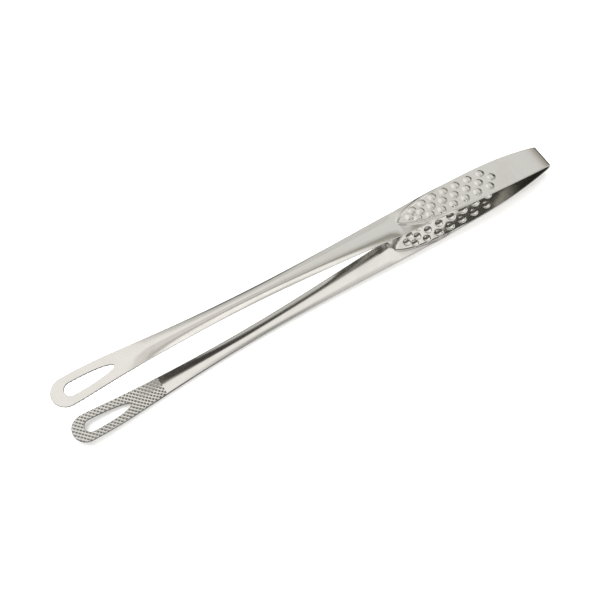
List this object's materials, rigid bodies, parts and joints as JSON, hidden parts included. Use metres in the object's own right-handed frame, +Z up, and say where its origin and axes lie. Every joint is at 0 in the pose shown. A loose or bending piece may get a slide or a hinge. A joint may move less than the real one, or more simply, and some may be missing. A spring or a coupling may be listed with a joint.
{
  "type": "kitchen tongs",
  "caption": "Long sprung kitchen tongs of one folded steel strip, with dimpled grips, arched shanks and knurled loop heads.",
  "frame": {"origin": "on the table, on the centreline, halfway between the tips and the outside of the fold", "axes": "+X along the tongs towards the fold, +Y across the strip, +Z up, with the tongs lying on the lower arm"},
  "size_m": [0.3, 0.0186, 0.0517],
  "materials": {
    "satin_steel": "bright satin stainless sheet, lightly brushed along its length",
    "knurled_steel": "bright stainless sheet, smooth outside and knurled in diamonds inside"
  },
  "bodies": {
    "lower_arm": {"lower_leaf": "satin_steel", "lower_grip": "satin_steel", "lower_shank": "satin_steel", "lower_jaw": "knurled_steel"},
    "bow": {"spring_bow": "satin_steel"},
    "upper_arm": {"upper_leaf": "satin_steel", "upper_grip": "satin_steel", "upper_shank": "satin_steel", "upper_jaw": "knurled_steel"}
  },
  "joints": [
    {"name": "lower_leaf_flex", "type": "hinge", "parent": "lower_arm", "child": "bow", "pos_m": [0.134, 0, 0.00442], "axis": [0, -1, 0], "range_deg": [-1.5, 4.5], "stiffness_Nm_per_rad": 13.4, "springref_deg": -0.3, "deforming": ["lower_leaf"]},
    {"name": "upper_leaf_flex", "type": "hinge", "parent": "bow", "child": "upper_arm", "pos_m": [0.13467, 0, 0.01444], "axis": [0, -1, 0], "range_deg": [-1.5, 4.5], "deforming": ["upper_leaf"]}
  ],
  "couplings": [
    {"joint": "upper_leaf_flex", "follows": "lower_leaf_flex", "ratio": 1}
  ]
}
